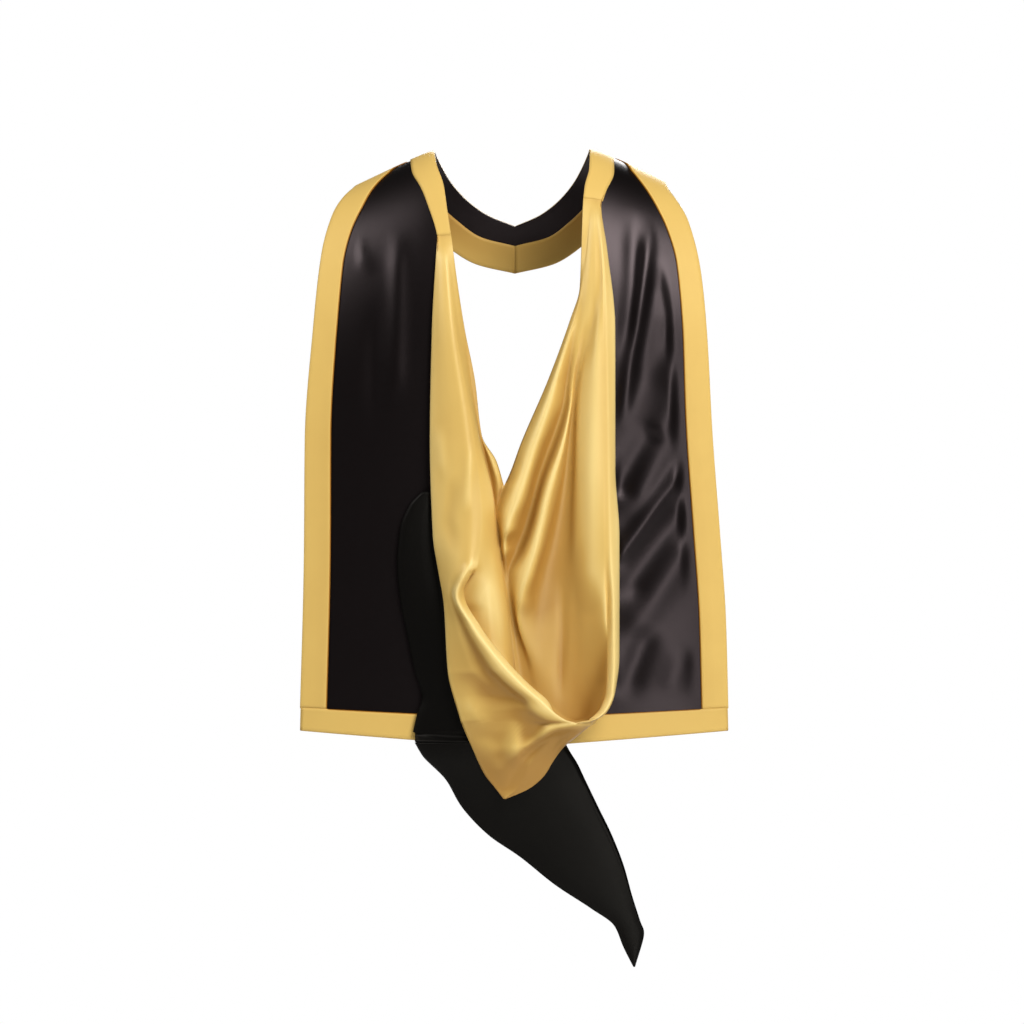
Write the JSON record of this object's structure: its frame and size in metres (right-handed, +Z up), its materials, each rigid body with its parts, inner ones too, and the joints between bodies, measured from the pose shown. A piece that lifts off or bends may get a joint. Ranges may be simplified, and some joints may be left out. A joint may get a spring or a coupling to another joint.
{
  "type": "academic hood",
  "caption": "Academic hood: black satin cape with square corners and gold bindings, gold lined cowl turned out down the back in a rolled lip and point, and a black tail below",
  "frame": {"origin": "on the shoulder crest in the middle of the neck opening, where the hood sits on the wearer's neck and shoulders", "axes": "+Z up; the wearer faces +Y, so the cape and cowl hang on the -Y side; +X is on the right when the hood is seen from behind"},
  "size_m": [0.4312, 0.2489, 0.8235],
  "materials": {
    "black_satin": "black satin with a soft, slightly warm sheen",
    "gold_satin": "old gold satin with a soft silky sheen"
  },
  "bodies": {
    "root": {"cape": "black_satin", "neckband": "gold_satin", "border_left": "gold_satin", "border_right": "gold_satin", "border_hem": "gold_satin", "cowl_lining": "gold_satin", "cowl_shell": "black_satin", "liripipe": "black_satin"}
  },
  "joints": []
}
